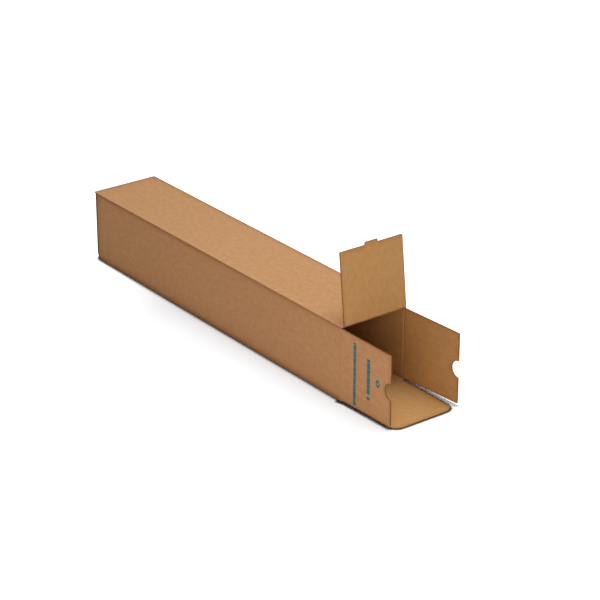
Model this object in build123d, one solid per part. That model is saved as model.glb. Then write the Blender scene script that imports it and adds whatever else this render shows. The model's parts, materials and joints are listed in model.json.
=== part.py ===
from build123d import *
import os

# Square mailing tube of fine corrugated kraft board, cut and creased as one blank,
# folded round a square section and glued along one lap. It lies on its bottom panel.
# X is across the tube, Y is along it with the open end at -Y, and Z is up.
# The origin is the middle of the bottom panel's outer face.
# All sizes are in millimetres.

# Driving sizes of the tube, measured over the outside
tube_width = 112.0
tube_height = 112.0
tube_length = 620.0
board = 1.6

# The long folds and the glued lap
fold_radius = 1.5
lap_height = 30.0
lap_end_setback = 24.0
lap_end_slope = 12.0

# Clearances of the flaps
crease_gap = 0.1
layer_gap = 0.2
side_gap = 0.3
end_gap = 0.3

# Top flap, the outermost one, with its locking tab
tab_width = 22.0
tab_length = 4.0
tab_radius = 1.2
top_corner_radius = 1.5
slot_gap = 1.0
slot_reach = 2.0

# Side flaps, each with a half-round thumb notch in its free edge
side_tip_gap = 1.9
side_edge_gap = 0.6
side_bottom_taper = 2.8
side_corner_radius = 2.0
notch_radius = 12.5

# Bottom flap
bottom_corner_radius = 17.0

# How far each open flap stands from its closed place, in degrees
top_open_angle = 186.5
left_open_angle = 90.0
right_open_angle = 93.0
bottom_open_angle = 90.0

# Sizes that follow from the ones above
half_width = tube_width / 2
half_length = tube_length / 2
inner_width = tube_width - 2 * board
inner_height = tube_height - 2 * board
layer = board + layer_gap
top_crease = half_length
bottom_crease = top_crease - layer
right_crease = bottom_crease - layer
left_crease = right_crease - layer
cover_width = inner_width - 2 * side_gap
cover_length = tube_height - board - end_gap
top_flap_length = cover_length - tab_length
bottom_flap_length = tube_height - board - end_gap
side_flap_length = tube_width - board - side_tip_gap
side_flap_height = inner_height - 2 * side_edge_gap
lap_length = 2 * (half_length - lap_end_setback)
past = 5.0


def sleeve():
    """The four long panels with their folds and the glued lap, before the ends are cut."""
    outer = Rectangle(tube_width, tube_height)
    raw_corner = outer.vertices().sort_by(Axis.Y)[:2].sort_by(Axis.X)[-1]
    outer = fillet(outer.vertices() - [raw_corner], fold_radius)
    section = outer - Rectangle(inner_width, inner_height)
    fold_x = half_width - board
    seam = Polygon(
        (fold_x - fold_radius, -tube_height / 2),
        (fold_x, -tube_height / 2),
        (fold_x, -tube_height / 2 + board / 2),
        align=None,
    )
    section -= seam
    across = Plane(origin=(0, half_length, tube_height / 2), x_dir=(1, 0, 0), z_dir=(0, -1, 0))
    return extrude(across * section, tube_length, dir=(0, -1, 0))


def glued_lap():
    """The lap that runs up inside the right panel, with sloped ends."""
    foot = lap_length / 2
    head = foot - lap_end_slope
    side = Plane(origin=(half_width - 2 * board, 0, 0), x_dir=(0, 1, 0), z_dir=(1, 0, 0))
    outline = Polygon(
        (-foot, board / 2),
        (foot, board / 2),
        (foot, board),
        (head, board + lap_height),
        (-head, board + lap_height),
        (-foot, board),
        align=None,
    )
    return extrude(side * outline, board, dir=(1, 0, 0))


def crease_plane(side, end):
    """Frame of a crease with its flap shut: X along the crease, Y down the flap, Z inwards."""
    crease = {"top": top_crease, "bottom": bottom_crease, "right": right_crease, "left": left_crease}[side]
    inwards = Vector(0, -end, 0)
    middle = tube_height / 2
    place, down = {
        "top": ((0, end * crease, tube_height), Vector(0, 0, -1)),
        "bottom": ((0, end * crease, 0), Vector(0, 0, 1)),
        "right": ((half_width, end * crease, middle), Vector(-1, 0, 0)),
        "left": ((-half_width, end * crease, middle), Vector(1, 0, 0)),
    }[side]
    return Plane(origin=place, x_dir=down.cross(inwards), z_dir=inwards)


def across_crease(side, end, section, span):
    """A solid of one section, drawn in Y and Z of a crease's frame, along that crease."""
    frame = crease_plane(side, end)
    start = Plane(origin=frame.origin - frame.x_dir * (span / 2), x_dir=frame.y_dir, z_dir=frame.x_dir)
    return extrude(start * section, span, dir=frame.x_dir)


def panel_end_cut(side, end):
    """What is cut off a panel beyond its crease: to a slope, or to a round fold."""
    span = inner_height if side in ("left", "right") else tube_width + 2 * past
    reach = 3 * layer + past
    if end == -1 or side == "top":
        cut = Polygon(
            (-past, crease_gap - past),
            (board, crease_gap + board),
            (board, -reach),
            (-past, -reach),
            align=None,
        )
    else:
        cut = Pos((board - past) / 2, -reach / 2) * Rectangle(board + past, reach)
        corner = Pos((fold_radius - past) / 2, (fold_radius - past) / 2)
        corner *= Rectangle(fold_radius + past, fold_radius + past)
        cut += corner - Pos(fold_radius, fold_radius) * Circle(fold_radius)
    return across_crease(side, end, cut, span)


def flap(outline, length):
    """A flap in its crease's frame: its outline through the board, sloped at the crease."""
    span = tube_width + tube_height
    sheet = extrude(outline, board, dir=(0, 0, 1))
    wedge = Polygon(
        (crease_gap, 0),
        (length + past, 0),
        (length + past, board),
        (crease_gap + board, board),
        align=None,
    )
    section = Plane(origin=(-span / 2, 0, 0), x_dir=(0, 1, 0), z_dir=(1, 0, 0))
    return sheet & extrude(section * wedge, span, dir=(1, 0, 0))


def free_corners(outline, radius):
    """The outline with the two corners of its free edge rounded."""
    return fillet(outline.vertices().group_by(Axis.Y)[-1], radius)


def top_outline():
    """Top flap with the locking tab in the middle of its free edge."""
    sheet = Pos(0, top_flap_length / 2) * Rectangle(cover_width, top_flap_length)
    sheet = free_corners(sheet, top_corner_radius)
    tab = Pos(0, cover_length / 2) * Rectangle(tab_width, cover_length)
    return sheet + free_corners(tab, tab_radius)


def bottom_outline():
    """Bottom flap with round corners and half of the slot for the tab in its crease."""
    sheet = Pos(0, bottom_flap_length / 2) * Rectangle(cover_width, bottom_flap_length)
    sheet = free_corners(sheet, bottom_corner_radius)
    return sheet - Rectangle(tab_width + 2 * slot_gap, 2 * slot_reach)


def side_outline(top_is):
    """Side flap, its lower edge tapered; top_is says which way along the crease is up."""
    half = side_flap_height / 2
    sheet = Polygon(
        (top_is * half, 0),
        (top_is * half, side_flap_length),
        (-top_is * (half - side_bottom_taper), side_flap_length),
        (-top_is * half, 0),
        align=None,
    )
    sheet = free_corners(sheet, side_corner_radius)
    return sheet - Pos(0, side_flap_length) * Circle(notch_radius)


def flap_outline(side, end):
    """The outline of one side's flap in its crease's frame, and its length."""
    if side == "top":
        return top_outline(), cover_length
    if side == "bottom":
        return bottom_outline(), bottom_flap_length
    up = 1 if crease_plane(side, end).x_dir.Z > 0 else -1
    return side_outline(up), side_flap_length


def open_flap(side, end, angle):
    """A flap swung out from its shut place by an angle about its crease."""
    outline, length = flap_outline(side, end)
    return crease_plane(side, end) * (Rot(-angle, 0, 0) * flap(outline, length))


def shut_flap(side):
    """A flap of the far end that is folded shut, in one with its panel."""
    outline, length = flap_outline(side, 1)
    sheet = extrude(outline, board, dir=(0, 0, 1))
    inside = Pos(0, board / 2 + length / 2, board / 2) * Box(tube_width, length, board)
    return crease_plane(side, 1) * (sheet & inside)


def tube_body():
    """Sleeve with cut ends, the glued lap and the three shut inner flaps of the far end."""
    body = sleeve()
    for side in ("top", "bottom", "right", "left"):
        for end in (-1, 1):
            body -= panel_end_cut(side, end)
    body += glued_lap()
    for side in ("bottom", "right", "left"):
        body += shut_flap(side)
    slot = Box(tab_width + 2 * slot_gap, 2 * slot_reach, 2 * board)
    for end in (-1, 1):
        body -= Pos(0, end * bottom_crease, 0) * slot
    return body


def write(shape, node):
    """Writes one node's solid to its STEP file."""
    export_step(shape, f"parts/{node}.step")


os.makedirs("parts", exist_ok=True)
write(tube_body(), "tube_body")
write(open_flap("top", -1, top_open_angle), "front_top_flap")
write(open_flap("left", -1, left_open_angle), "front_left_flap")
write(open_flap("right", -1, right_open_angle), "front_right_flap")
write(open_flap("bottom", -1, bottom_open_angle), "front_bottom_flap")
write(open_flap("top", 1, 0), "rear_top_flap")
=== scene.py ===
"""Looks of a square mailing tube in creased, fine-flute corrugated kraft board.

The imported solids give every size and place. Each board is rebuilt as what it is: an outer and an
inner liner with a fluted medium between them, crushed where it is creased and where the die cut it.
"""

from __future__ import annotations

import itertools
import json
import logging
import math
from dataclasses import dataclass, field
from enum import Enum
from typing import ClassVar

import bpy
import numpy as np
from mathutils import Matrix, Vector

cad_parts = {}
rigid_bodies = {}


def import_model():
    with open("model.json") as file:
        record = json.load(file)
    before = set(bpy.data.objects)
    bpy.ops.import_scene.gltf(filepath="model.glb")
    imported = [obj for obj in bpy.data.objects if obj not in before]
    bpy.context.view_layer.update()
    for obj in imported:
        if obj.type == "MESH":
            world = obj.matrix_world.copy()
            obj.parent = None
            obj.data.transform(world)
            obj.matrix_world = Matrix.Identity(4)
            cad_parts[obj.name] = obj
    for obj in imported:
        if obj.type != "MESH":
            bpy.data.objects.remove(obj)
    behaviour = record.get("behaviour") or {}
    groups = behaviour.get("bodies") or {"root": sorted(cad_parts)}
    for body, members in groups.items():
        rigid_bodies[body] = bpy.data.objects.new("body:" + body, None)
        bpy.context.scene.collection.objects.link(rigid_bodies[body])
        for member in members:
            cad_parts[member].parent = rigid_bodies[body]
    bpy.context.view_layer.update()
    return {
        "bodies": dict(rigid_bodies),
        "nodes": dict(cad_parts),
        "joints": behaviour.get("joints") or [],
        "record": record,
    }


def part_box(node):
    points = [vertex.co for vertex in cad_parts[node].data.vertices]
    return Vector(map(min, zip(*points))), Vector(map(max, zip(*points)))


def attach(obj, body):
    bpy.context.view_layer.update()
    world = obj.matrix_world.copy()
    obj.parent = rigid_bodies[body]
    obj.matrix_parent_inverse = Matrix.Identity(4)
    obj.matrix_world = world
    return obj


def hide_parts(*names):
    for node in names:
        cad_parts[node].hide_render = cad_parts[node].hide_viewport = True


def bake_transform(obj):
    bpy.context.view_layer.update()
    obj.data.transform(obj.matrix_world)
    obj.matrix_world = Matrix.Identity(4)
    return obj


LOG = logging.getLogger("mailing_tube")
MM = 0.001
SHEET_UV = "sheet"
EDGE = "edge"
FLUTE_PITCH = 3.4 * MM
CREASE_START = 0.8 * MM
# Rows beside a crease, in millimetres from where the board starts
NEAR_CREASE = (0.0, 0.25, 0.55, 0.95, 1.4, 1.9, 2.6)

Pair = tuple[float, float]
Ends = tuple[Pair, Pair]
Triple = tuple[float, float, float]
Array = np.ndarray
Material = bpy.types.Material
Object = bpy.types.Object
Tree = bpy.types.NodeTree
Node = bpy.types.Node
Socket = bpy.types.NodeSocket


class End(Enum):
    """The two ends of the tube; the value is the sign of Y there."""

    FRONT = -1
    REAR = 1


class Layer(Enum):
    """Material slots of a board's mesh, in their order."""

    OUTSIDE = 0
    INSIDE = 1
    FLUTING = 2
    CUT_EDGE = 3


def linear(colour: str) -> tuple[float, float, float, float]:
    """Turns an sRGB hex colour into linear RGBA.

    Args:
        colour: Six hex digits with a leading hash.

    Returns:
        Linear red, green, blue and an alpha of 1.
    """
    parts = (int(colour[i : i + 2], 16) / 255 for i in (1, 3, 5))
    rgb = [c / 12.92 if c <= 0.04045 else ((c + 0.055) / 1.055) ** 2.4 for c in parts]
    return (rgb[0], rgb[1], rgb[2], 1.0)


def smooth(low: float, high: float, value: Array) -> Array:
    """Smooth step from 0 at low to 1 at high."""
    t = np.clip((value - low) / (high - low), 0.0, 1.0)
    return t * t * (3 - 2 * t)


def fill_rows(first: Array, last: Array, between: int) -> Array:
    """Joins two sets of rows by a number of evenly spread ones between them."""
    share = np.linspace(0, 1, between + 2)[1:-1][:, None]
    return np.concatenate([first, first[-1] + share * (last[0] - first[-1]), last])


def feed(node: Node, inputs: dict[int | str, object]) -> None:
    """Sets or links a node's inputs.

    Args:
        node: The node.
        inputs: For each input socket its value, or the node or socket that is linked to it. A node
            stands for its first output that is in use.
    """
    for key, value in inputs.items():
        if isinstance(value, Node):
            value = next(socket for socket in value.outputs if socket.enabled)
        if isinstance(value, Socket):
            node.id_data.links.new(value, node.inputs[key])
        else:
            node.inputs[key].default_value = value


def add(tree: Tree, kind: str, inputs: dict[int | str, object] | None = None, **settings: object) -> Node:
    """Adds a node with its settings, socket values and incoming links.

    Args:
        tree: The node tree.
        kind: The node's Blender type name after the leading ShaderNode.
        inputs: Its inputs, as feed takes them.
        **settings: Properties of the node.

    Returns:
        The new node.
    """
    node = tree.nodes.new(f"ShaderNode{kind}")
    for key, value in settings.items():
        setattr(node, key, value)
    feed(node, inputs or {})
    return node


def put(name: str, data: bpy.types.ID) -> Object:
    """Makes an object of a mesh, a camera or a light and puts it in the scene.

    Args:
        name: The object's name.
        data: The mesh, camera or light.

    Returns:
        The object.
    """
    made = bpy.data.objects.new(name, data)
    bpy.context.scene.collection.objects.link(made)
    return made


@dataclass(frozen=True)
class Paper:
    """Uncoated machine-made kraft paper: matt and faintly mottled, with long fibres and dark shives.

    Single fibres are too fine to show in the render, so the streaks are drawn several fibres wide.
    Folds and cuts rub it pale on the crown of a fold and press it dark beside one. Both come from
    The mesh's edge value paints it. Above 0 it takes a painted highlight, on the long folds where
    they face up and on the roof beside the left one. Below 0 it turns darker: painted shade beside
    the long folds and where they turn away, and plain darker bands at the cuts, creases and ends.
    Below -1 it turns to deep painted shade, along the sides of a flap that lies under the side flaps.
    """

    name: str
    colour: str
    pale: str
    dark: str
    # The edge value's colours: a painted highlight, a darker tone (painted shade beside the long folds,
    # plain darker bands elsewhere) and deep painted shade.
    rubbed: str = "#D0A678"
    pressed: str = "#824A1A"
    painted_gap_shade: str = "#1C120A"
    roughness: float = 0.88
    specular: float = 0.25
    ior: float = 1.47
    mottle: float = 7 * MM
    contrast: float = 0.32
    streak_width: float = 0.4 * MM
    streak_length: float = 6.0 * MM
    streak_show: float = 0.16
    shive: float = 1.6 * MM
    shive_show: float = 0.5
    flute_show: float = 0.05
    relief: float = 0.03 * MM

    def _patterns(self, tree: Tree) -> dict[str, Node | Socket]:
        """Adds the paper's patterns, stretched along and across the flutes.

        Args:
            tree: The material's nodes.

        Returns:
            The node or socket of each pattern, by its name.
        """
        sheet = add(tree, "UVMap", uv_map=SHEET_UV)
        fine, coarse = 1 / self.streak_width, 1 / self.streak_length
        noises = (
            ("mottle", 1 / self.mottle, 0.6 / self.mottle, 6.0, 0.7),
            ("streaks", coarse, fine, 3.0, 0.6),
            ("cross", fine, coarse, 2.0, 0.5),
            ("shives", 0.45 / self.shive, 1 / self.shive, 1.0, 0.5),
        )
        found: dict[str, Node | Socket] = {}
        for name, across, along, detail, rough in noises:
            moved = add(tree, "VectorMath", {0: sheet, 1: (across, along, 1.0)}, operation="MULTIPLY")
            inputs = {"Vector": moved, "Scale": 1.0, "Detail": detail, "Roughness": rough}
            found[name] = add(tree, "TexNoise", inputs, noise_dimensions="2D")
        # A wave of scale 1 repeats every pi / 10 metres
        pitch = math.pi / (10 * FLUTE_PITCH)
        inputs = {"Vector": sheet, "Scale": pitch, "Distortion": 0.15, "Detail": 1.0}
        found["ribs"] = add(tree, "TexWave", inputs, bands_direction="X").outputs["Fac"]
        return found

    def material(self) -> Material:
        """Builds the paper's material.

        Returns:
            The material, with colour and bump worked out from the sheet's own coordinates.
        """
        mat = bpy.data.materials.new(self.name)
        mat.use_nodes = True
        tree = mat.node_tree
        found = self._patterns(tree)
        inputs = {"Value": found["mottle"], "From Min": 0.3, "From Max": 0.7}
        share = add(tree, "MapRange", inputs, interpolation_type="SMOOTHSTEP")
        inputs = {0: share, 6: linear(self.dark), 7: linear(self.pale)}
        blotch = add(tree, "Mix", inputs, data_type="RGBA")
        inputs = {0: self.contrast, 6: linear(self.colour), 7: blotch}
        tone = add(tree, "Mix", inputs, data_type="RGBA")
        layers = (
            ("streaks", "SMOOTHSTEP", 0.35, 0.72, self.streak_show, self.pale),
            ("shives", "SMOOTHSTEP", 0.68, 0.75, self.shive_show, self.dark),
            ("ribs", "LINEAR", 0.0, 1.0, self.flute_show, self.dark),
        )
        for name, curve, low, high, most, colour in layers:
            inputs = {"Value": found[name], "From Min": low, "From Max": high, "To Max": most}
            share = add(tree, "MapRange", inputs, interpolation_type=curve)
            tone = add(tree, "Mix", {0: share, 6: tone, 7: linear(colour)}, data_type="RGBA")
        edge = add(tree, "Attribute", attribute_name=EDGE).outputs["Fac"]
        inputs = {"Value": found["cross"], "From Min": 0.1, "From Max": 0.6}
        grain = add(tree, "MapRange", inputs, interpolation_type="SMOOTHSTEP")
        # Painted highlight above 0, the darker tone below 0 and deep painted shade below -1.
        edge_tones = ((1.0, 0.0, self.rubbed), (-1.0, 0.0, self.pressed), (-1.0, -1.0, self.painted_gap_shade))
        for sign, start, colour in edge_tones:
            inputs = {0: edge, 1: sign, 2: start}
            edge_tone = add(tree, "Math", inputs, operation="MULTIPLY_ADD", use_clamp=True)
            share = add(tree, "Math", {0: edge_tone, 1: grain}, operation="MULTIPLY")
            tone = add(tree, "Mix", {0: share, 6: tone, 7: linear(colour)}, data_type="RGBA")
        height = found["streaks"]
        for name in ("cross", "ribs"):
            height = add(tree, "Math", {0: height, 1: found[name]}, operation="ADD")
        looks = {
            "Base Color": tone,
            "Normal": add(tree, "Bump", {"Height": height, "Strength": 0.6, "Distance": self.relief}),
            "Roughness": self.roughness,
            "Specular IOR Level": self.specular,
            "IOR": self.ior,
        }
        feed(tree.nodes["Principled BSDF"], looks)
        return mat


@dataclass(frozen=True)
class Ink:
    """Water-based flexographic ink, printed on kraft: it soaks in, so the fibres still show."""

    name: str = "flexographic_ink_teal"
    colour: str = "#1F6C7C"
    thin: str = "#5C7F78"
    grain: float = 0.5 * MM
    roughness: float = 0.8
    specular: float = 0.25

    def material(self) -> Material:
        """Builds the ink's material, with thin spots where the paper is rough.

        Returns:
            The material.
        """
        mat = bpy.data.materials.new(self.name)
        mat.use_nodes = True
        tree = mat.node_tree
        place = add(tree, "TexCoord").outputs["Object"]
        noise = add(tree, "TexNoise", {"Vector": place, "Scale": 1 / self.grain, "Detail": 3.0})
        share = add(tree, "MapRange", {"Value": noise, "From Min": 0.45, "From Max": 0.75})
        inputs = {0: share, 6: linear(self.colour), 7: linear(self.thin)}
        looks = {
            "Base Color": add(tree, "Mix", inputs, data_type="RGBA"),
            "Roughness": self.roughness,
            "Specular IOR Level": self.specular,
        }
        feed(tree.nodes["Principled BSDF"], looks)
        return mat


@dataclass(frozen=True)
class Board:
    """Single-wall corrugated board with fine flutes, and how it gives way at creases and cuts.

    At a crease the board is crushed to its outer liner. Its inner face slopes at 45 degrees there,
    which leaves room for the flap to shut.
    """

    thickness: float
    liner: float = 0.27 * MM
    medium: float = 0.17 * MM
    crease_gap: float = 0.1 * MM
    crease_clear: float = 0.12 * MM
    shoulder: float = 0.12 * MM
    crease_dip: float = 0.32 * MM
    dip_reach: float = 1.0 * MM
    cut_crush: float = 0.11
    cut_reach: float = 0.6 * MM
    flute_samples: int = 10

    def faces(self, from_crease: Array, from_cut: Array) -> tuple[Array, Array]:
        """Works out how deep both faces lie below the board's true outer face.

        Args:
            from_crease: Distances from the crease line.
            from_cut: Distances from the nearest cut edge.

        Returns:
            The depths of the outer face, and of the inner one, which slopes up to it at a crease.
        """
        crush = self.cut_crush * self.thickness * np.exp(-from_cut / self.cut_reach)
        dip = self.crease_dip * (1 - smooth(0.0, self.dip_reach, from_crease))
        slope = (from_crease - self.crease_clear) / self.shoulder
        flat = np.full_like(slope, self.thickness / self.shoulder)
        return dip + crush, -self.shoulder * np.logaddexp(-slope, -flat) - crush


class SheetMesh:
    """Collects slabs of paper and turns them into one mesh object."""

    sharp_angle: ClassVar[float] = math.radians(50)

    def __init__(self) -> None:
        """Starts with nothing in it."""
        self.points: list[Array] = []
        self.places: list[Array] = []
        self.edge: list[Array] = []
        self.faces: list[Array] = []
        self.slots: list[Array] = []
        self.count = 0

    def slab(
        self,
        front: Array,
        back: Array,
        place: Array,
        edge: Array,
        layers: tuple[Layer, ...],
        closed: bool = False,
    ) -> None:
        """Adds a closed slab between two grids of points.

        Args:
            front: Points of one face, as rows by columns by 3.
            back: Points of the other face, in the same grid.
            place: Coordinates on the flat sheet, as rows by columns by 2.
            edge: How pale (above 0, painted highlight) and how dark (below 0) the paper is drawn, as rows
                by columns.
            layers: Materials of the front, the back and the rim.
            closed: Whether the last column joins the first one.
        """
        rows, columns = front.shape[:2]
        index = np.arange(rows * columns).reshape(rows, columns) + self.count
        if closed:
            index = np.concatenate([index, index[:, :1]], axis=1)
        other = index + rows * columns
        grids = [
            (index, 1, layers[0]),
            (other, -1, layers[1]),
            (np.stack([index[0], other[0]]), -1, layers[2]),
            (np.stack([index[-1], other[-1]]), 1, layers[2]),
        ]
        if not closed:
            grids.append((np.stack([index[:, 0], other[:, 0]]), 1, layers[2]))
            grids.append((np.stack([index[:, -1], other[:, -1]]), -1, layers[2]))
        for grid, way, layer in grids:
            corners = [grid[:-1, :-1], grid[:-1, 1:], grid[1:, 1:], grid[1:, :-1]][::way]
            quads = np.stack([corner.ravel() for corner in corners], axis=1)
            self.faces.append(quads)
            self.slots.append(np.full(len(quads), layer.value))
        self.points += [front.reshape(-1, 3), back.reshape(-1, 3)]
        self.places += [place.reshape(-1, 2)] * 2
        self.edge += [edge.ravel()] * 2
        self.count += 2 * rows * columns

    def build(self, name: str, materials: list[Material]) -> Object:
        """Makes the mesh object.

        Args:
            name: The piece's name.
            materials: Its materials, in the order of Layer.

        Returns:
            The object, linked to the scene.
        """
        faces = np.concatenate(self.faces)
        mesh = bpy.data.meshes.new(name)
        mesh.from_pydata(np.concatenate(self.points).tolist(), [], faces.tolist())
        mesh.polygons.foreach_set("material_index", np.concatenate(self.slots).astype(np.int32))
        mesh.polygons.foreach_set("use_smooth", np.ones(len(faces), bool))
        layer = mesh.uv_layers.new(name=SHEET_UV)
        corners = np.empty(len(mesh.loops), np.int32)
        mesh.loops.foreach_get("vertex_index", corners)
        layer.data.foreach_set("uv", np.concatenate(self.places)[corners].astype(np.float32).ravel())
        edge = mesh.attributes.new(EDGE, "FLOAT", "POINT")
        edge.data.foreach_set("value", np.concatenate(self.edge).astype(np.float32))
        for material in materials:
            mesh.materials.append(material)
        mesh.validate()
        mesh.set_sharp_from_angle(angle=self.sharp_angle)
        return put(name, mesh)


@dataclass(frozen=True)
class Crease:
    """A crease line in the board's outer face, with the flap that turns about it."""

    origin: Array
    along: Array
    inward: Array
    open_angle: float

    @property
    def down(self) -> Array:
        """The way the flap points when it is shut."""
        return np.cross(self.inward, self.along)

    @property
    def reach(self) -> Array:
        """The way the flap points as it stands."""
        return math.cos(self.open_angle) * self.down - math.sin(self.open_angle) * self.inward

    @property
    def depth(self) -> Array:
        """From the flap's outer face to its inner one, as it stands."""
        return math.cos(self.open_angle) * self.inward + math.sin(self.open_angle) * self.down


@dataclass(frozen=True)
class Outline:
    """A flap's outline: straight sides that may taper, rounded free corners, and a slot at the crease."""

    half: float
    length: float
    corner: float
    low_taper: float = 0.0
    high_taper: float = 0.0
    slot_half: float = 0.0
    slot_reach: float = 0.0
    step: float = 3.0 * MM
    hair: float = 0.02 * MM
    corner_samples: int = 9

    def sides(self, away: Array | float) -> tuple[Array | float, Array | float]:
        """Where the low and the high side are, at a distance from the crease."""
        share = away / self.length
        return -self.half + self.low_taper * share, self.half - self.high_taper * share

    def extra(self) -> Array:
        """Stations that the free edge needs of its own."""
        return np.zeros(0)

    def shape(self, across: Array) -> Array:
        """How far the free edge reaches, before its corners are rounded."""
        return np.full_like(across, self.length)

    def stations(self, step: float | None = None) -> Array:
        """Places across the free edge, closer where it curves.

        Args:
            step: The widest step between them, or None for the outline's own.

        Returns:
            The places, from the low side to the high one.
        """
        low, high = self.sides(self.length)
        bend = self.corner * np.sin(np.linspace(0, math.pi / 2, self.corner_samples))
        count = int((high - low) / (step or self.step))
        found = [np.linspace(low, high, count), low + self.corner - bend, high - self.corner + bend]
        if self.slot_half:
            edge = np.array([self.slot_half - self.hair, self.slot_half])
            found += [edge, -edge]
        found.append(self.extra())
        spots = np.unique(np.round(np.concatenate(found), 8))
        keep = np.concatenate([[True], np.diff(spots) > 0.4 * self.hair])
        return spots[keep]

    def free_edge(self, across: Array) -> Array:
        """How far the flap reaches at each station of the free edge.

        Args:
            across: The stations.

        Returns:
            Distances from the crease.
        """
        low, high = self.sides(self.length)
        into = np.clip(self.corner - np.minimum(across - low, high - across), 0, self.corner)
        return self.shape(across) - (self.corner - np.sqrt(np.maximum(self.corner**2 - into**2, 0)))

    def crease_edge(self, across: Array) -> Array:
        """Where the board starts at each station, beside the crease or behind the slot."""
        inside = np.abs(across) < self.slot_half - self.hair / 2
        return np.where(inside, self.slot_reach, CREASE_START)

    def across(self, stations: Array, away: Array) -> Array:
        """Spreads stations of the free edge over the flap's width.

        Args:
            stations: Places across the free edge.
            away: Distances from the crease, as rows by stations.

        Returns:
            Places across the flap, as rows by stations.
        """
        low, high = self.sides(self.length)
        near_low, near_high = self.sides(away)
        return near_low + (stations - low) / (high - low) * (near_high - near_low)


@dataclass(frozen=True)
class NotchedOutline(Outline):
    """A side flap's outline, with a half-round thumb notch in its free edge."""

    notch: float = 12.5 * MM
    notch_samples: int = 41

    def extra(self) -> Array:
        """Stations round the notch."""
        return self.notch * np.sin(np.linspace(-math.pi / 2, math.pi / 2, self.notch_samples))

    def shape(self, across: Array) -> Array:
        """The free edge with the notch in it."""
        return self.length - np.sqrt(np.maximum(self.notch**2 - across**2, 0))


@dataclass(frozen=True)
class TabbedOutline(Outline):
    """An outer flap's outline, with a locking tab in the middle of its free edge."""

    tab_half: float = 11.0 * MM
    tab: float = 4.0 * MM
    tab_corner: float = 1.2 * MM
    tab_samples: int = 6

    def extra(self) -> Array:
        """Stations at the tab's sides and round its corners.

        Returns:
            Places across the free edge.
        """
        bend = self.tab_half - self.tab_corner * (1 - np.sin(np.linspace(0, math.pi / 2, self.tab_samples)))
        edge = np.concatenate([bend, [self.tab_half + self.hair]])
        return np.concatenate([edge, -edge])

    def shape(self, across: Array) -> Array:
        """The free edge with the tab on it.

        Args:
            across: Places across the free edge.

        Returns:
            How far the flap reaches there.
        """
        into = np.clip(np.abs(across) - (self.tab_half - self.tab_corner), 0, self.tab_corner)
        tip = self.tab - self.tab_corner + np.sqrt(np.maximum(self.tab_corner**2 - into**2, 0))
        return self.length - self.tab + np.where(np.abs(across) <= self.tab_half + self.hair / 2, tip, 0)


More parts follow.
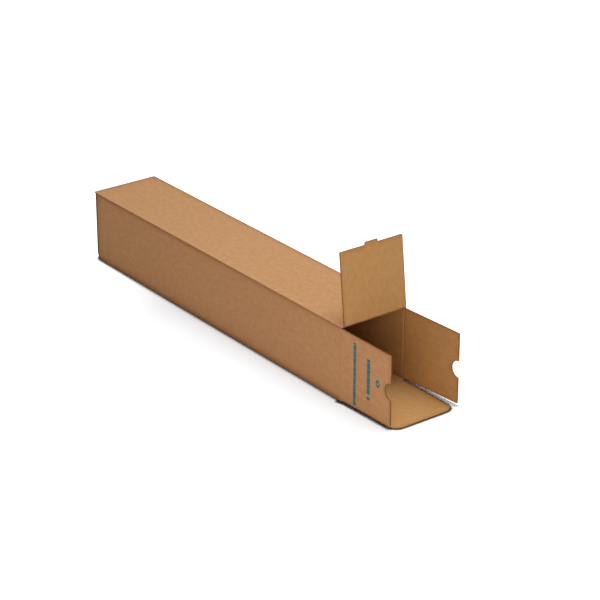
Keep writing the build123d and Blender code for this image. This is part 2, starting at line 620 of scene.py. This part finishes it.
@dataclass
class Flap:
    """One flap: two liners and the fluted medium, on its crease.

    The rows beside the free edge are given in millimetres from it. The bow is part of a wave, with
    its run along and across the flap and a shift across it.
    """

    board: Board
    crease: Crease
    outline: Outline
    seed: float
    bow: float
    curl: float
    # How dark the sides are painted: painted shade where the flap lies under the side flaps.
    painted_side_shade: float
    bow_run: Pair = (0.85, 0.9)
    bow_shift: float = 0.2
    # How far the painted shade along the sides reaches.
    painted_side_shade_reach: float = 2.5 * MM
    # Darker bands along the cut edges and beside the crease.
    cut_darkening: float = 0.9
    cut_reach: float = 1.3 * MM
    crease_wear: float = 0.12
    crease_reach: float = 1.0 * MM
    near_cut: tuple[float, ...] = (1.6, 0.8, 0.35, 0.1, 0.0)
    plain_rows: int = 14
    flute_rows: int = 4
    flute_inset: float = 0.25 * MM
    sheet_shift: Pair = (0.31, 0.17)

    def point(self, across: Array, away: Array, deep: Array) -> Array:
        """Finds points of the flap, which bows and curls a little.

        Args:
            across: Places along the crease.
            away: Distances from the crease.
            deep: Depths into the board.

        Returns:
            The points.
        """
        share, side = away / self.outline.length, across / self.outline.half
        run, spread = self.bow_run
        across_bow = math.pi / 2 * (side * spread + self.bow_shift * self.seed)
        arch = np.sin(math.pi * run * share) * np.cos(across_bow)
        curl = math.copysign(self.curl, self.bow) * share**2 * side**2
        return (
            self.crease.origin
            + across[..., None] * self.crease.along
            + away[..., None] * self.crease.reach
            + (deep - (self.bow * arch + curl))[..., None] * self.crease.depth
        )

    def _grid(self, stations: Array, plain: int, trim: float = 0.0) -> tuple[Array, ...]:
        """Spreads a grid over the flap.

        Args:
            stations: Places across the free edge.
            plain: How many rows lie between the close ones.
            trim: How far the grid stays back from the free edge.

        Returns:
            Places across and away, and the distances from the sides and from the nearest cut.
        """
        end = self.outline.free_edge(stations) - trim
        near = self.outline.crease_edge(stations)[None, :] + np.array(NEAR_CREASE)[:, None] * MM
        away = fill_rows(near, end[None, :] - np.array(self.near_cut)[:, None] * MM, plain)
        across = self.outline.across(stations[None, :], away)
        low, high = self.outline.sides(away)
        from_side = np.minimum(across - low, high - across)
        from_cut = np.maximum(np.minimum(from_side, end[None, :] - away), 0)
        return across, away, from_side, from_cut

    def _place(self, across: Array, away: Array) -> Array:
        """Coordinates on the flat sheet, each flap on a part of its own."""
        shift = [self.seed * part for part in self.sheet_shift]
        return np.stack([across + shift[0], away + shift[1]], axis=-1)

    def mesh(self) -> SheetMesh:
        """Builds both liners and the medium.

        Returns:
            The flap's mesh.
        """
        made = SheetMesh()
        liner = self.board.liner
        across, away, from_side, from_cut = self._grid(self.outline.stations(), self.plain_rows)
        outer, inner = self.board.faces(away, from_cut)
        # Darker toward the cut edges and the crease.
        edge = -self.cut_darkening * np.exp(-from_cut / self.cut_reach)
        edge = edge - self.crease_wear * np.exp(-away / self.crease_reach)
        # Painted shade along the sides, where the flap lies under the side flaps.
        edge = edge - self.painted_side_shade * np.exp(-from_side / self.painted_side_shade_reach)
        sheets = (
            (outer, outer + liner, (Layer.OUTSIDE, Layer.FLUTING, Layer.CUT_EDGE)),
            (inner - liner, inner, (Layer.FLUTING, Layer.INSIDE, Layer.CUT_EDGE)),
        )
        for front, back, layers in sheets:
            faces = (self.point(across, away, deep) for deep in (front, back))
            made.slab(*faces, self._place(across, away), edge, layers)
        self._medium(made)
        return made

    def _medium(self, made: SheetMesh) -> None:
        """Adds the fluted paper between the liners.

        Args:
            made: The mesh that it goes into.
        """
        board = self.board
        stations = self.outline.stations(FLUTE_PITCH / board.flute_samples)
        across, away, _, from_cut = self._grid(stations, self.flute_rows, self.flute_inset)
        outer, inner = board.faces(away, from_cut)
        top = outer + board.liner
        gap = inner - board.liner - top
        swing = np.maximum(gap - board.medium, 0) / 2
        middle = top + gap / 2 + swing * np.sin(2 * math.pi * across / FLUTE_PITCH)
        low, high = self.outline.sides(away)
        across = np.clip(across, low + self.flute_inset, high - self.flute_inset)
        half = board.medium / 2
        faces = (self.point(across, away, deep) for deep in (middle - half, middle + half))
        made.slab(*faces, self._place(across, away), np.zeros_like(across), (Layer.FLUTING,) * 3)


@dataclass(frozen=True)
class CreaseSkin:
    """The outer liner where it runs over a crease, with the soft dent of the score.

    It is rounded over the crease, but sharp where the flap can fold right back.
    """

    board: Board
    crease: Crease
    turns_far: bool
    # How much darker the paper is drawn along the crease.
    pressed: float
    dark_reach: float = 0.6 * MM
    hold: float = 1.25 * MM
    lift: float = 0.9 * MM
    turn: float = 0.35 * MM
    bend: float = 0.8 * MM
    score: float = 0.07 * MM
    score_reach: float = 0.5 * MM
    tuck: float = 0.03 * MM
    stretched: float = 0.9
    rows: int = 15
    step: float = 4.0 * MM

    def _section(self, spots: Array, deep: Array) -> Array:
        """Runs the liner down the panel, round the crease and along the flap.

        Args:
            spots: Distances across the crease.
            deep: Depths into the board there.

        Returns:
            Points seen from the crease's origin, as rows by 3.
        """
        crease = self.crease
        bend = 0.0 if self.turns_far else self.bend
        made = []
        for spot, depth in zip(spots, deep):
            if spot <= -bend:
                made.append(depth * crease.down - spot * crease.inward)
            elif spot >= bend:
                made.append(depth * crease.depth + spot * crease.reach)
            else:
                share = (spot + bend) / (2 * bend)
                line = ((1 - share) ** 2 * crease.inward + share**2 * crease.reach) * bend
                normal = (1 - share) * crease.down + share * crease.depth
                made.append(line + normal / np.linalg.norm(normal) * depth)
        return np.array(made)

    def mesh(self, low: float, high: float) -> SheetMesh:
        """Builds the strip.

        Args:
            low: Where it starts along the crease.
            high: Where it ends along the crease.

        Returns:
            The strip's mesh.
        """
        spots = np.linspace(-self.hold, self.hold, self.rows)
        if self.turns_far:
            spots = np.array([-self.hold, -self.lift, -self.turn, self.turn, self.lift, self.hold])
        dent = self.score * np.exp(-((spots / self.score_reach) ** 2))
        skin = dent + self.tuck * smooth(self.bend, self.hold, np.abs(spots))
        across = np.linspace(low, high, max(2, int((high - low) / self.step)))
        line = self.crease.origin + across[None, :, None] * self.crease.along
        wide, away = np.meshgrid(across, spots)
        made = SheetMesh()
        made.slab(
            line + self._section(spots, skin)[:, None],
            line + self._section(spots, skin + self.board.liner * self.stretched)[:, None],
            np.stack([wide, away], axis=-1),
            -self.pressed * np.exp(-np.abs(away) / self.dark_reach),
            (Layer.OUTSIDE, Layer.INSIDE, Layer.OUTSIDE),
        )
        return made


@dataclass(frozen=True)
class Column:
    """One station round the tube's wall: a point on each face and where its ends are."""

    outer: Pair
    inner: Pair
    front: float
    rear: float
    front_crease: float
    rear_crease: float
    normal: Pair
    share: float = -1.0
    # Painted highlight above 0 and painted shade below 0 at this station.
    fold: float = 0.0


@dataclass
class Wrap:
    """The four long panels and the glued lap, as one sheet folded round a square.

    For each panel, how pale (painted highlight) and how dark (painted shade) its first and its second
    long edge are painted beside the folds, and over how many millimetres. Stations beside a fold are
    given as shares of the panel's width.
    The panels stand out of true in waves, each with its height, how fast it runs along the tube, how
    the way the panel looks shifts it, and where it starts.
    """

    board: Board
    half_width: float
    height: float
    front: dict[str, float]
    rear: dict[str, float]
    slot_half: float
    slot_reach: float
    fold: float = 1.5 * MM
    inner_fold: float = 0.1 * MM
    lap: float = 30.0 * MM
    lap_setback: float = 24.0 * MM
    lap_slope: float = 12.0 * MM
    flap_room: float = 1.4 * MM
    bow: float = 0.30 * MM
    bow_run: float = 60 * MM
    bow_mean: float = 0.45
    # Painted shade over the right long fold; over the left one a painted highlight where it faces up,
    # turning to painted shade as it faces the side.
    right_fold: float = -0.9
    crown_lighting: float = 0.9
    crown_side_shade: float = 0.5
    # Darker toward the front and the rear end of the wall.
    mouth_darkening: float = 0.12
    mouth_reach: float = 1.0 * MM
    rear_darkening: float = 1.05
    rear_reach: float = 3.4 * MM
    hair: float = 0.03 * MM
    by_fold: Triple = (0.004, 0.01, 0.02)
    panel_stations: int = 29
    fold_stations: int = 8
    lap_stations: int = 9
    further_rows: Triple = (5.0, 12.0, 28.0)
    plain_rows: int = 40
    columns: list[Column] = field(default_factory=list)
    # Painted shade beside the long folds, and a painted highlight on the roof beside the left fold.
    fold_tones: ClassVar[dict[str, Ends]] = {
        "bottom": ((0.0, 1.0), (0.0, 1.0)),
        "right": ((-0.85, 3.0), (-0.85, 3.0)),
        "top": ((-0.95, 2.6), (0.45, 2.0)),
        "left": ((-0.85, 3.0), (-1.15, 3.2)),
    }
    waves: ClassVar[tuple] = ((0.35, 9.0, (4.0, 0.0), 1.3), (0.25, 23.0, (0.0, 2.0), 0.0))

    def _stretch(
        self,
        panel: str,
        start: Ends,
        stop: Ends,
        turn: Pair,
        spots: Array,
        bows: bool = False,
        back: float = 0.0,
    ) -> None:
        """Adds the stations of a flat stretch, or of a long fold where the surface turns.

        Args:
            panel: The panel whose ends it has.
            start: The outer and the inner point where it starts, or the centres of a fold's rounds.
            stop: The same where it stops.
            turn: The ways the outer face looks there, in degrees from X.
            spots: Where its stations are, from 0 at the start to 1.
            bows: Whether its middle stands out of true.
            back: How far its ends go back over its length, where a flap must shut past it.
        """
        front, rear = self.front[panel], self.rear[panel]
        folds = turn[0] != turn[1]
        radii = (self.fold, self.inner_fold) if folds else (0.0, 0.0)
        span = math.dist(start[0], stop[0])
        for share in spots:
            angle = math.radians(turn[0] + share * (turn[1] - turn[0]))
            way = (math.cos(angle), math.sin(angle))
            outer, inner = (
                tuple((1 - share) * a + share * b + radius * v for a, b, v in zip(*ends, way))
                for *ends, radius in zip(start, stop, radii)
            )
            # Painted highlight and shade beside the long folds; over a fold, the tone follows the way it
            # faces.
            fold_tone, reach = self.fold_tones[panel][int(share > 0.5)]
            edge_tone = fold_tone * math.exp(-min(share, 1 - share) * span / (reach * MM))
            if folds:
                crown_lighting = self.right_fold if way[0] > 0 else self.crown_lighting * way[1] + self.crown_side_shade * way[0]
                edge_tone = crown_lighting if way[1] > 0 else 0.0
            slot = panel == "bottom" and abs(outer[0]) < self.slot_half - self.hair / 2
            gap = back * share + (self.slot_reach if slot else CREASE_START)
            ends = (front + gap, rear - gap, front, rear)
            self.columns.append(Column(outer, inner, *ends, way, share if bows else -1.0, edge_tone))

    def lay_out(self) -> None:
        """Lays the stations round the section, from the raw edge to the end of the lap."""
        w, h, t, r, a = self.half_width, self.height, self.board.thickness, self.fold, self.hair
        low, high = t + a, h - t - a
        x, foot, head = w - t - self.inner_fold, t + self.inner_fold, h - t - self.inner_fold
        raw, turns, near = np.array([0, 1]), np.linspace(0, 1, self.fold_stations), np.array(self.by_fold)
        spots = np.unique(np.concatenate([np.linspace(0, 1, self.panel_stations), near, 1 - near]))
        self._stretch("bottom", ((w, 0), (w - t, 0)), ((w, t), (w - t, t)), (0, 0), raw)
        self._stretch("right", ((w, low), (w - t, low)), ((w, high), (w - t, high)), (0, 0), spots, True)
        centres = ((w - r, h - r), (x, head))
        self._stretch("top", centres, centres, (0, 90), turns)
        self._stretch("top", ((w - r, h), (x, h - t)), ((r - w, h), (-x, h - t)), (90, 90), spots, True)
        centres = ((r - w, h - r), (-x, head))
        self._stretch("top", centres, centres, (90, 180), turns)
        start, stop = ((-w, high), (t - w, high)), ((-w, low), (t - w, low))
        self._stretch("left", start, stop, (180, 180), spots, True)
        centres = ((r - w, r), (-x, foot))
        self._stretch("bottom", centres, centres, (180, 270), turns)
        start, stop = r - w, w - t - r
        slot = [
            (edge + side - start) / (stop - start)
            for edge in (-self.slot_half, self.slot_half)
            for side in (-a, 0, a)
        ]
        spots = np.unique(np.concatenate([spots, slot]))
        self._stretch("bottom", ((start, 0), (-x, t)), ((stop, 0), (x - t, t)), (270, 270), spots)
        centres = ((stop, r), (x - t, foot))
        self._stretch("bottom", centres, centres, (270, 360), turns, back=self.flap_room)
        self._lap()

    def _lap(self) -> None:
        """Adds the stations of the lap inside the right panel, with its sloped ends."""
        thick = self.board.thickness
        face = self.half_width - thick
        foot = min(-self.front["top"], self.rear["top"]) - self.lap_setback
        for share in np.linspace(0, 1, self.lap_stations):
            high = thick + self.hair + share * self.lap
            end = foot - share * self.lap_slope
            outer, inner = (face - self.hair, high), (face - thick, high)
            self.columns.append(Column(outer, inner, -end, end, -1.0, 1.0, (-1, 0)))

    def _all(self, name: str) -> Array:
        """One value of every station."""
        return np.array([getattr(column, name) for column in self.columns])

    def mesh(self) -> SheetMesh:
        """Builds the wall as one closed slab.

        Returns:
            The wall's mesh.
        """
        self.lay_out()
        near = np.array([*NEAR_CREASE, *self.further_rows]) * MM
        first = self._all("front")[None, :] + near[:, None]
        last = self._all("rear")[None, :] - near[::-1][:, None]
        along = fill_rows(first, last, self.plain_rows)
        from_front = along - self._all("front_crease")
        from_rear = self._all("rear_crease") - along
        outer, inner = self._all("outer"), self._all("inner")
        no_cut = np.full_like(along, math.inf)
        sink, rise = self.board.faces(np.minimum(from_front, from_rear), no_cut)
        sink = sink / np.linalg.norm(outer - inner, axis=1)
        rise = np.maximum(rise / self.board.thickness, sink)
        girth = np.concatenate([[0], np.cumsum(np.linalg.norm(np.diff(outer, axis=0), axis=1))])
        edge = self._all("fold") - self.mouth_darkening * np.exp(-from_front / self.mouth_reach)
        edge = edge - self.rear_darkening * np.exp(-from_rear / self.rear_reach)
        faces = []
        for depth in (sink, rise):
            section = outer[None] + depth[..., None] * (inner - outer)[None] + self._bulge(along)
            faces.append(np.stack([section[..., 0], along, section[..., 1]], axis=-1))
        made = SheetMesh()
        made.slab(
            *faces,
            np.stack([np.broadcast_to(girth, along.shape), along], axis=-1),
            np.clip(edge, -1, 1),
            (Layer.OUTSIDE, Layer.INSIDE, Layer.CUT_EDGE),
        )
        return made

    def _bulge(self, along: Array) -> Array:
        """How the flat panels stand out of true.

        Args:
            along: Places along the tube, as rows by stations.

        Returns:
            Offsets in X and Z, as rows by stations by 2.
        """
        share, normal = self._all("share"), self._all("normal")
        arch = np.where(share < 0, 0, np.sin(math.pi * np.clip(share, 0, 1)))
        wave = np.full_like(along, self.bow_mean)
        for high, rate, lean, start in self.waves:
            wave = wave + high * np.sin(rate * along + normal @ np.array(lean) + start)
        ends = smooth(0.0, self.bow_run, along - along[0]) * smooth(0.0, self.bow_run, along[-1] - along)
        side = np.where(normal[:, 0] < -0.5, -1.0, 1.0)
        return (self.bow * side * arch * wave * ends)[..., None] * normal


@dataclass(frozen=True)
class Print:
    """Plain printed marks on the left flap: two rows of bars, a ring and a dot.

    A row has its place from the crease, its width, where it starts and stops along the crease, and
    the lengths of its bars. A ring has its place along and from the crease, its two radii and the
    share of them that is left open. All but that share are in millimetres.
    """

    flap: Flap
    lift: float = 0.03 * MM
    body: float = 0.05 * MM
    gap: float = 0.55
    round_samples: int = 24
    rows: ClassVar[tuple] = (
        (32.3, 5.7, -49.3, 43.7, (7.0, 3.2, 9.5, 5.0, 4.1, 8.2, 2.6, 6.3)),
        (61.6, 6.6, -21.5, 31.0, (8.6, 5.2, 10.4, 3.8, 7.1)),
    )
    rings: ClassVar[tuple] = (
        (2.0, 81.3, 5.6, 4.2, 0.42),
        (-27.6, 61.6, 2.6, 3.3, 0.05),
    )

    def mesh(self) -> SheetMesh:
        """Builds the marks as thin slabs that follow the flap's surface.

        Returns:
            The marks' mesh.
        """
        made = SheetMesh()
        spread = np.linspace(-0.5, 0.5, 3)
        for away, wide, spot, high, bars in self.rows:
            for bar in itertools.cycle(bars):
                if spot >= high:
                    break
                tall = min(bar, high - spot)
                across = spot + tall / 2 + spread * tall
                self._patch(made, *np.meshgrid(across, away + spread * wide))
                spot += tall + self.gap
        turn = np.linspace(0, 2 * math.pi, self.round_samples + 1)[:-1]
        for across, away, tall, wide, hole in self.rings:
            ring = np.array([hole, (1 + hole) / 2, 1.0])[:, None]
            grids = (across + tall * ring * np.sin(turn), away + wide * ring * np.cos(turn))
            self._patch(made, *grids, True)
        return made

    def _patch(self, made: SheetMesh, across: Array, away: Array, round_it: bool = False) -> None:
        """Adds one mark that follows the surface.

        Args:
            made: The mesh that it goes into.
            across: Places along the crease in millimetres, as a grid.
            away: Distances from the crease, in the same grid.
            round_it: Whether the grid closes on itself.
        """
        across, away = across * MM, away * MM
        flat = np.zeros_like(across)
        faces = (self.flap.point(across, away, flat + deep) for deep in (-self.lift, self.body))
        made.slab(*faces, np.stack([across, away], axis=-1), flat, (Layer.OUTSIDE,) * 3, round_it)


@dataclass(frozen=True)
class Sizes:
    """Sizes of the tube that are read from the frame, in metres."""

    half_width: float
    height: float
    thickness: float
    cover_half: float
    cover_length: float
    side_length: float
    side_half: float

    @staticmethod
    def read() -> Sizes:
        """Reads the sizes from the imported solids' boxes.

        Returns:
            The sizes.
        """
        low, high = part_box("tube_body")
        left_low, left_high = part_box("front_left_flap")
        rear_low, rear_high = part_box("rear_top_flap")
        gap = Board.crease_gap
        return Sizes(
            half_width=(high.x - low.x) / 2,
            height=high.z - low.z,
            thickness=left_high.x - left_low.x,
            cover_half=(rear_high.x - rear_low.x) / 2,
            cover_length=rear_high.z - rear_low.z + gap,
            side_length=left_high.y - left_low.y + gap,
            side_half=(left_high.z - left_low.z) / 2,
        )


@dataclass
class MailingTube:
    """The whole tube: the wall, the moving flaps, the far end's shut flaps and the creases."""

    frame: dict
    sizes: Sizes
    papers: list[Material]
    ink: Material
    low_taper: float = 2.8 * MM
    side_corner: float = 2.0 * MM
    cover_corner: float = 1.5 * MM
    bottom_corner: float = 17.0 * MM
    slot_half: float = 12.0 * MM
    slot_reach: float = 2.0 * MM
    right_back: float = 180.0
    # How much darker a shut and an open crease are drawn.
    shut_crease_dark: float = 0.8
    open_crease_dark: float = 0.25
    blend_far: float = 0.3 * MM
    blend_near: float = 0.8 * MM

    def __post_init__(self) -> None:
        """Reads the joints and sets up the board."""
        self.board = Board(self.sizes.thickness)
        self.joints = {j["name"]: j for j in self.frame["joints"]}

    def crease(self, side: str, end: End) -> Crease:
        """Reads a crease from its joint, whose upper limit is where the flap is shut.

        Args:
            side: The side of the tube, or rear for the far end's own joint.
            end: The end of the tube that it is at.

        Returns:
            The crease at rest. The far end's shut ones are in mirror image of the open end's.
        """
        joint = self.joints[f"{side}_crease"]
        origin, along = np.array(joint["pos_m"], float), np.array(joint["axis"], float)
        angle = math.radians(joint["range_deg"][1])
        if end is End.REAR and side != "rear":
            origin, along, angle = origin * np.array([1, -1, 1]), -along, 0.0
        return Crease(origin, along, np.array([0.0, -float(end.value), 0.0]), angle)

    def outline(self, side: str, crease: Crease) -> Outline:
        """Draws a flap's outline.

        Args:
            side: The side of the tube, or rear for the far end's outer flap.
            crease: Its crease, which tells a side flap which way is up.

        Returns:
            The outline. A side flap's lower edge is the tapered one.
        """
        cover = (self.sizes.cover_half, self.sizes.cover_length)
        if side in ("top", "rear"):
            return TabbedOutline(*cover, self.cover_corner)
        if side == "bottom":
            slot = {"slot_half": self.slot_half, "slot_reach": self.slot_reach}
            return Outline(*cover, self.bottom_corner, **slot)
        taper = "low_taper" if crease.along[2] > 0 else "high_taper"
        half, length = self.sizes.side_half, self.sizes.side_length
        return NotchedOutline(half, length, self.side_corner, **{taper: self.low_taper})

    def finish(self, made: Object, body: str, node: str | None = None) -> None:
        """Puts a piece on its body and hides the CAD node that it stands for.

        Args:
            made: The piece.
            body: The body that it rides on.
            node: The CAD node that it stands for, if it is the one that does.
        """
        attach(made, body)
        if node:
            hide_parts(node)
        LOG.info("%s on %s, %d faces", made.name, body, len(made.data.polygons))

    def build_wall(self) -> None:
        """Builds the wall."""
        sides = ("top", "left", "right", "bottom")
        front = {side: self.joints[f"{side}_crease"]["pos_m"][1] for side in sides}
        rear = {side: -y for side, y in front.items()}
        sizes = (self.sizes.half_width, self.sizes.height)
        wrap = Wrap(self.board, *sizes, front, rear, self.slot_half, self.slot_reach)
        self.finish(wrap.mesh().build("tube_wall", self.papers), "tube", "tube_body")

    def build_flap(
        self, end: End, place: str, side: str, seed: float, bow: float, curl: float, painted_side_shade: float
    ) -> Flap:
        """Builds one flap and the skin over its crease.

        Args:
            end: The end of the tube that it is at.
            place: Its place in its name.
            side: Its side in the names of its body and joint.
            seed: A number that keeps its paper apart from the others'.
            bow: How far it bows towards its outer face, in millimetres.
            curl: How far its corners curl the same way, in millimetres.
            painted_side_shade: How dark its sides are painted, as painted shade where they lie under the
                side flaps.

        Returns:
            The flap.
        """
        crease = self.crease(side, end)
        outline = self.outline(side, crease)
        flap = Flap(self.board, crease, outline, seed, bow * MM, curl * MM, painted_side_shade)
        name = f"{place}_flap"
        moves = (end is End.REAR) == (side == "rear")
        board, fold = (f"{name}_board", f"{name}_crease") if moves else (name, f"{place}_fold")
        body = f"{side}_flap" if moves else "tube"
        self.finish(flap.mesh().build(board, self.papers), body, name if moves else None)
        self.build_skin(fold, crease, outline, body)
        return flap

    def build_skin(self, name: str, crease: Crease, outline: Outline, body: str) -> None:
        """Builds the outer liner over a crease, in two parts where a slot goes through it.

        Args:
            name: The piece's name.
            crease: The crease.
            outline: The flap's outline, for the strip's ends.
            body: The flap's body, or the tube's where the flap doesn't move.
        """
        joint = next((j for j in self.joints.values() if j["child"] == body), None)
        turns_far = bool(joint) and max(abs(x) for x in joint["range_deg"]) >= self.right_back
        # A shut crease is drawn darker than an open one.
        pressed = self.shut_crease_dark if crease.open_angle == 0.0 else self.open_crease_dark
        skin = CreaseSkin(self.board, crease, turns_far, pressed)
        spans = [(-outline.half, outline.half)]
        if outline.slot_half:
            spans = [(-outline.half, -outline.slot_half), (outline.slot_half, outline.half)]
        for number, (low, high) in enumerate(spans):
            made = skin.mesh(low, high).build(f"{name}_{number}", self.papers)
            if joint:
                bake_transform(made)
            else:
                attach(made, "tube")
            LOG.info("%s over the crease of %s", made.name, body)

    def build(self) -> None:
        """Builds the tube, its wall first and the print last."""
        self.build_wall()
        flaps = (
            (End.REAR, "rear_left", "left", 11.0, 0.0, 0.0, 0.0),
            (End.REAR, "rear_right", "right", 12.0, 0.0, 0.0, 0.0),
            (End.REAR, "rear_bottom", "bottom", 13.0, 0.0, 0.0, 0.0),
            (End.FRONT, "front_top", "top", 1.0, 0.08, 0.04, 0.0),
            (End.FRONT, "front_left", "left", 2.0, -0.08, 0.04, 0.0),
            (End.FRONT, "front_right", "right", 3.0, 0.08, 0.04, 0.0),
            # The front bottom flap's sides get painted shade, where they lie under the side flaps.
            (End.FRONT, "front_bottom", "bottom", 4.0, -0.06, 0.04, 1.5),
            (End.REAR, "rear_top", "rear", 5.0, -0.06, 0.04, 0.0),
        )
        made = {row[1]: self.build_flap(*row) for row in flaps}
        marks = Print(made["front_left"]).mesh()
        self.finish(marks.build("left_flap_marks", [self.ink]), "left_flap")


@dataclass(frozen=True)
class Studio:
    """A white floor, soft light and the camera at the photograph's angle.

    The floor's shadow is deepest right beside the board. Over the mouth, from the first to the
    second place along the tube, it passes from the narrow shade under the flaps to the wall's own.
    """

    azimuth: float = -37.31
    elevation: float = 24.49
    roll: float = 0.12
    distance: float = 2.981
    aim: Triple = (-0.0495, -0.2071, 0.1138)
    lens: float = 130.0
    sensor: float = 36.0
    clip: float = 100.0
    floor_size: float = 40.0
    ambient: float = 0.195
    ambient_tint: tuple[float, ...] = (1.12, 0.95, 0.88, 1.0)
    shadow_tint: Triple = (0.565, 0.613, 0.63)
    mouth: Pair = (-0.316, -0.3)
    gap_shade: float = 0.0062
    gap_power: float = 8.0
    contact: float = 0.012
    open_air: Pair = (0.52, 0.84)
    darkest: float = 0.02
    glow: float = 0.495
    glow_reach: Pair = (0.2, 0.4)
    glow_squash: Triple = (1.0, 0.75, 1.0)
    glow_shift: Triple = (0.12, 0.15, 0.0)
    lamp_aim: Triple = (0.0, -0.2, 0.05)

    def camera(self) -> None:
        """Makes the camera."""
        a, e = math.radians(self.azimuth), math.radians(self.elevation)
        back = Vector((math.sin(a) * math.cos(e), -math.cos(a) * math.cos(e), math.sin(e)))
        data = bpy.data.cameras.new("camera")
        data.lens = self.lens
        data.sensor_width = self.sensor
        data.clip_end = self.clip
        made = put("camera", data)
        turn = (-back).to_track_quat("-Z", "Y").to_matrix().to_4x4()
        turn = turn @ Matrix.Rotation(math.radians(self.roll), 4, "Z")
        made.matrix_world = Matrix.Translation(Vector(self.aim) + self.distance * back) @ turn
        bpy.context.scene.camera = made

    @staticmethod
    def _seen(tree: Tree) -> Node:
        """1 for what the camera sees, straight or through gloss or glass.

        Args:
            tree: The node tree.

        Returns:
            The node that gives it.
        """
        path = add(tree, "LightPath").outputs
        share = path["Is Camera Ray"]
        for name in ("Is Glossy Ray", "Is Transmission Ray"):
            share = add(tree, "Math", {0: share, 1: path[name]}, operation="MAXIMUM")
        return share

    def _floor_shade(self, tree: Tree) -> Node:
        """Adds what the camera sees of the floor: white, and darker in the tube's shadow.

        Args:
            tree: The floor's nodes.

        Returns:
            The shader.
        """
        place = add(tree, "TexCoord").outputs["Object"]
        along = add(tree, "SeparateXYZ", {0: place}).outputs["Y"]
        mouth = {"Value": along, "From Min": self.mouth[0], "From Max": self.mouth[1]}
        power = add(tree, "MapRange", mouth | {"To Min": self.gap_power, "To Max": 1.0})
        reach = add(tree, "MapRange", mouth | {"To Min": self.gap_shade, "To Max": self.contact})
        near = add(tree, "AmbientOcclusion", {"Distance": reach}, samples=8).outputs["AO"]
        close = add(tree, "Math", {0: near, 1: power}, operation="POWER")
        low, high = self.open_air
        inputs = {"Value": close, "From Min": low, "From Max": high, "To Min": self.darkest}
        open_air = add(tree, "MapRange", inputs, interpolation_type="SMOOTHSTEP")
        shade = add(tree, "VectorMath", {0: self.shadow_tint, "Scale": open_air}, operation="SCALE")
        inputs = {0: place, 1: self.glow_squash, 2: self.glow_shift}
        from_mouth = add(tree, "VectorMath", inputs, operation="MULTIPLY_ADD")
        away = add(tree, "VectorMath", {0: from_mouth}, operation="LENGTH")
        low, high = self.glow_reach
        inputs = {"Value": away, "From Min": low, "From Max": high, "To Min": self.glow}
        far = add(tree, "MapRange", inputs, interpolation_type="SMOOTHSTEP")
        light = add(tree, "Math", {0: open_air, 1: far}, operation="MULTIPLY")
        soft = add(tree, "BsdfDiffuse", {"Color": shade})
        glow = add(tree, "Emission", {"Color": (1, 1, 1, 1), "Strength": light})
        return add(tree, "AddShader", {0: soft, 1: glow})

    def floor(self) -> None:
        """Makes the floor: white to the camera, with the tube's shadow on it."""
        half = self.floor_size / 2
        corners = [(x * half, y * half, 0) for x, y in ((-1, -1), (1, -1), (1, 1), (-1, 1))]
        mesh = bpy.data.meshes.new("floor")
        mesh.from_pydata(corners, [], [(0, 1, 2, 3)])
        mat = bpy.data.materials.new("floor_white")
        mat.use_nodes = True
        tree = mat.node_tree
        tree.nodes.clear()
        plain = add(tree, "BsdfDiffuse", {"Color": (0.8, 0.8, 0.8, 1)})
        both = add(tree, "MixShader", {0: self._seen(tree), 1: plain, 2: self._floor_shade(tree)})
        add(tree, "OutputMaterial", {"Surface": both})
        mesh.materials.append(mat)
        put("floor", mesh)

    def world(self) -> None:
        """Makes the world: soft white light, and pure white where the camera sees it."""
        world = bpy.data.worlds.new("world")
        bpy.context.scene.world = world
        world.use_nodes = True
        tree = world.node_tree
        tree.nodes.clear()
        light = add(tree, "Background", {"Color": self.ambient_tint, "Strength": self.ambient})
        white = add(tree, "Background", {"Color": (1, 1, 1, 1), "Strength": 1.0})
        both = add(tree, "MixShader", {0: self._seen(tree), 1: light, 2: white})
        add(tree, "OutputWorld", {"Surface": both})

    def lamp(self, name: str, place: Triple, size: float, power: float, tint: Triple) -> None:
        """Makes a soft square lamp that points at the open half of the tube.

        Args:
            name: The lamp's name.
            place: Where it hangs.
            size: The length of its side.
            power: Its power in watts.
            tint: Its colour.
        """
        data = bpy.data.lights.new(name, "AREA")
        data.size = size
        data.energy = power
        data.color = tint
        made = put(name, data)
        made.location = place
        way = Vector(self.lamp_aim) - Vector(place)
        made.rotation_euler = way.to_track_quat("-Z", "Y").to_euler()
        made.visible_camera = False

    def build(self) -> None:
        """Builds the studio."""
        self.camera()
        self.floor()
        self.world()
        self.lamp("overhead", (0.25, -0.35, 1.9), 1.4, 27.2, (0.975, 1.015, 1.085))
        self.lamp("left_side", (-0.84, -1.1, 0.42), 0.7, 4.8, (1.13, 0.955, 0.9))
        self.lamp("front", (0.3, -1.8, 1.5), 1.2, 2.9, (1.0, 1.0, 1.0))
        self.lamp("right_side", (1.6, -0.6, 1.4), 1.2, 4.2, (1.0, 1.0, 1.0))
        bpy.context.scene.view_settings.view_transform = "Standard"


def papers() -> list[Material]:
    """Builds the four papers of the board.

    Returns:
        Their materials, in the order of Layer.
    """
    fluting = {"rubbed": "#9C774D", "pressed": "#6B4C2E"}
    return [
        Paper("kraft_liner_outside", "#C19263", "#CD9F71", "#AE7F53").material(),
        Paper("kraft_liner_inside", "#BA8E57", "#C59B64", "#A77D48", flute_show=0.07).material(),
        Paper("semichemical_fluting", "#8E6A42", "#9C774D", "#7A5834", **fluting).material(),
        Paper("die_cut_edge", "#B98B58", "#C99D6B", "#9A7042", flute_show=0.0).material(),
    ]


def main() -> None:
    """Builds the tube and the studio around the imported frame."""
    logging.basicConfig(level=logging.INFO, format="%(name)s: %(message)s")
    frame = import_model()
    MailingTube(frame, Sizes.read(), papers(), Ink().material()).build()
    Studio().build()


if __name__ == "__main__":
    main()
